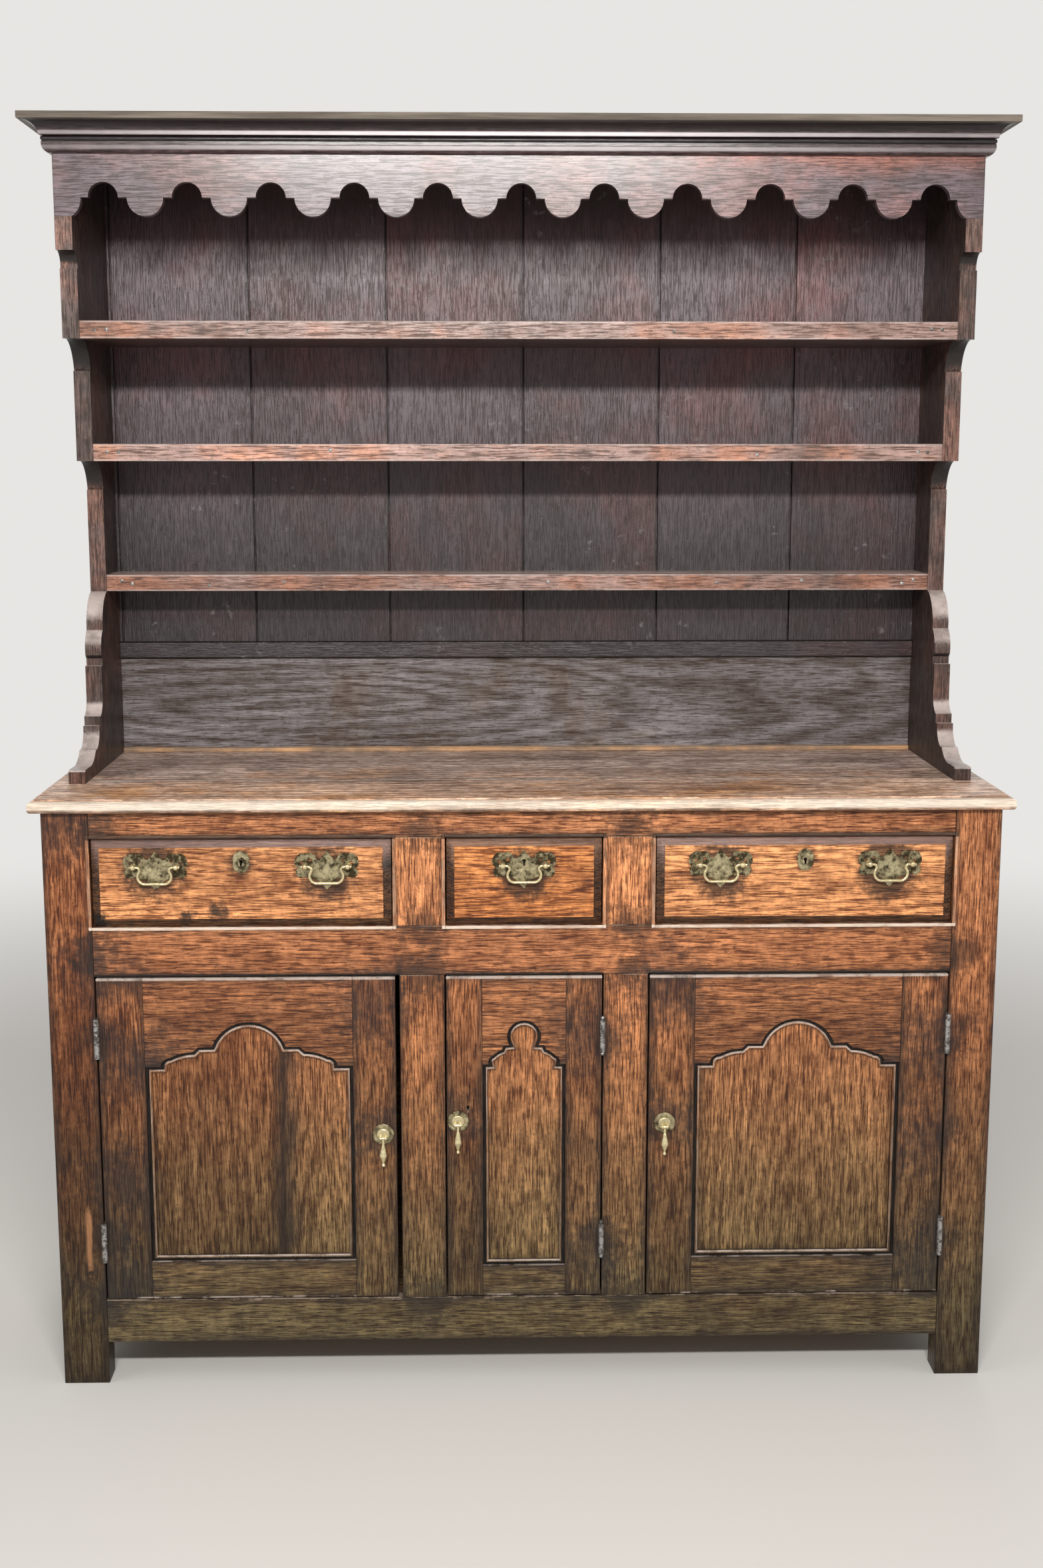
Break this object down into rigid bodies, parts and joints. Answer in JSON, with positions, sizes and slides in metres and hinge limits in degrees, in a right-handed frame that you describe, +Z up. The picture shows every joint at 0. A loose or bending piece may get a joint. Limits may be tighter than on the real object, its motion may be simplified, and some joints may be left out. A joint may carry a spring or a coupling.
{
  "type": "welsh dresser",
  "caption": "Oak dresser with drawers over panelled cupboards and an open plate rack under an arched frieze and cornice.",
  "frame": {"origin": "on the floor under the middle of the base's top in plan", "axes": "+Z up, +X to the viewer's right facing the doors, +Y to the wall behind"},
  "size_m": [1.492, 0.487, 1.935],
  "materials": {
    "base_oak": "waxed, dark in the corners",
    "panel_oak": "waxed",
    "top_oak": "waxed and worn",
    "rack_oak": "waxed",
    "board_oak": "dry and dusty",
    "brass": "aged",
    "iron": "dull"
  },
  "bodies": {
    "carcass": {"left_front_stile": "base_oak", "right_front_stile": "base_oak", "side_frames": "base_oak", "top_rail": "base_oak", "middle_rail": "base_oak", "bottom_rail": "base_oak", "muntins": "base_oak", "side_panels": "base_oak", "base_backboards": "board_oak", "cupboard_floor": "board_oak", "drawer_runners": "board_oak", "drawer_beads": "base_oak", "top_boards": "top_oak", "rack_left_side": "rack_oak", "rack_right_side": "rack_oak", "upper_shelf": "rack_oak", "middle_shelf": "rack_oak", "lower_shelf": "rack_oak", "frieze_board": "rack_oak", "cornice": "rack_oak", "rack_roof": "board_oak", "rack_backboards": "board_oak", "lower_backboard": "board_oak", "frame_hinge_leaves": "iron"},
    "left_drawer": {"left_drawer_front": "base_oak", "left_drawer_box": "board_oak", "left_drawer_brass": "brass", "left_drawer_lock": "iron"},
    "left_drawer_left_bail_swing": {"left_drawer_left_bail": "brass"},
    "left_drawer_right_bail_swing": {"left_drawer_right_bail": "brass"},
    "middle_drawer": {"middle_drawer_front": "base_oak", "middle_drawer_box": "board_oak", "middle_drawer_brass": "brass", "middle_drawer_lock": "iron"},
    "middle_drawer_bail_swing": {"middle_drawer_bail": "brass"},
    "right_drawer": {"right_drawer_front": "base_oak", "right_drawer_box": "board_oak", "right_drawer_brass": "brass", "right_drawer_lock": "iron"},
    "right_drawer_left_bail_swing": {"right_drawer_left_bail": "brass"},
    "right_drawer_right_bail_swing": {"right_drawer_right_bail": "brass"},
    "left_door": {"left_door_stiles": "base_oak", "left_door_rails": "base_oak", "left_door_panel": "panel_oak", "left_door_hinge_leaves": "iron", "left_door_pull_rose": "brass"},
    "left_door_drop": {"left_door_pull_drop": "brass"},
    "middle_door": {"middle_door_stiles": "base_oak", "middle_door_rails": "base_oak", "middle_door_panel": "panel_oak", "middle_door_hinge_leaves": "iron", "middle_door_pull_rose": "brass", "middle_door_lock": "iron"},
    "middle_door_drop": {"middle_door_pull_drop": "brass"},
    "right_door": {"right_door_stiles": "base_oak", "right_door_rails": "base_oak", "right_door_panel": "panel_oak", "right_door_hinge_leaves": "iron", "right_door_pull_rose": "brass"},
    "right_door_drop": {"right_door_pull_drop": "brass"}
  },
  "joints": [
    {"name": "left_drawer_slide", "type": "slide", "parent": "carcass", "child": "left_drawer", "axis": [0, -1, 0], "range_m": [0, 0.3]},
    {"name": "left_drawer_left_bail_hinge", "type": "hinge", "parent": "left_drawer", "child": "left_drawer_left_bail_swing", "pos_m": [-0.552, -0.2376, 0.829], "axis": [-1, 0, 0], "range_deg": [-12, 100]},
    {"name": "left_drawer_right_bail_hinge", "type": "hinge", "parent": "left_drawer", "child": "left_drawer_right_bail_swing", "pos_m": [-0.296, -0.2376, 0.829], "axis": [-1, 0, 0], "range_deg": [-12, 100]},
    {"name": "middle_drawer_slide", "type": "slide", "parent": "carcass", "child": "middle_drawer", "axis": [0, -1, 0], "range_m": [0, 0.3]},
    {"name": "middle_drawer_bail_hinge", "type": "hinge", "parent": "middle_drawer", "child": "middle_drawer_bail_swing", "pos_m": [0, -0.2376, 0.829], "axis": [-1, 0, 0], "range_deg": [-12, 100]},
    {"name": "right_drawer_slide", "type": "slide", "parent": "carcass", "child": "right_drawer", "axis": [0, -1, 0], "range_m": [0, 0.3]},
    {"name": "right_drawer_left_bail_hinge", "type": "hinge", "parent": "right_drawer", "child": "right_drawer_left_bail_swing", "pos_m": [0.296, -0.2376, 0.829], "axis": [-1, 0, 0], "range_deg": [-12, 100]},
    {"name": "right_drawer_right_bail_hinge", "type": "hinge", "parent": "right_drawer", "child": "right_drawer_right_bail_swing", "pos_m": [0.552, -0.2376, 0.829], "axis": [-1, 0, 0], "range_deg": [-12, 100]},
    {"name": "left_door_hinge", "type": "hinge", "parent": "carcass", "child": "left_door", "pos_m": [-0.6488, -0.231, 0.4], "axis": [0, 0, -1], "range_deg": [0, 165]},
    {"name": "left_door_drop_hinge", "type": "hinge", "parent": "left_door", "child": "left_door_drop", "pos_m": [-0.2164, -0.2355, 0.402], "axis": [-1, 0, 0], "range_deg": [-3, 85]},
    {"name": "middle_door_hinge", "type": "hinge", "parent": "carcass", "child": "middle_door", "pos_m": [0.1198, -0.231, 0.4], "axis": [0, 0, 1], "range_deg": [0, 110]},
    {"name": "middle_door_drop_hinge", "type": "hinge", "parent": "middle_door", "child": "middle_door_drop", "pos_m": [-0.1016, -0.2355, 0.422], "axis": [-1, 0, 0], "range_deg": [-3, 85]},
    {"name": "right_door_hinge", "type": "hinge", "parent": "carcass", "child": "right_door", "pos_m": [0.6488, -0.231, 0.4], "axis": [0, 0, 1], "range_deg": [0, 165]},
    {"name": "right_door_drop_hinge", "type": "hinge", "parent": "right_door", "child": "right_door_drop", "pos_m": [0.2164, -0.2355, 0.417], "axis": [-1, 0, 0], "range_deg": [-3, 85]}
  ]
}
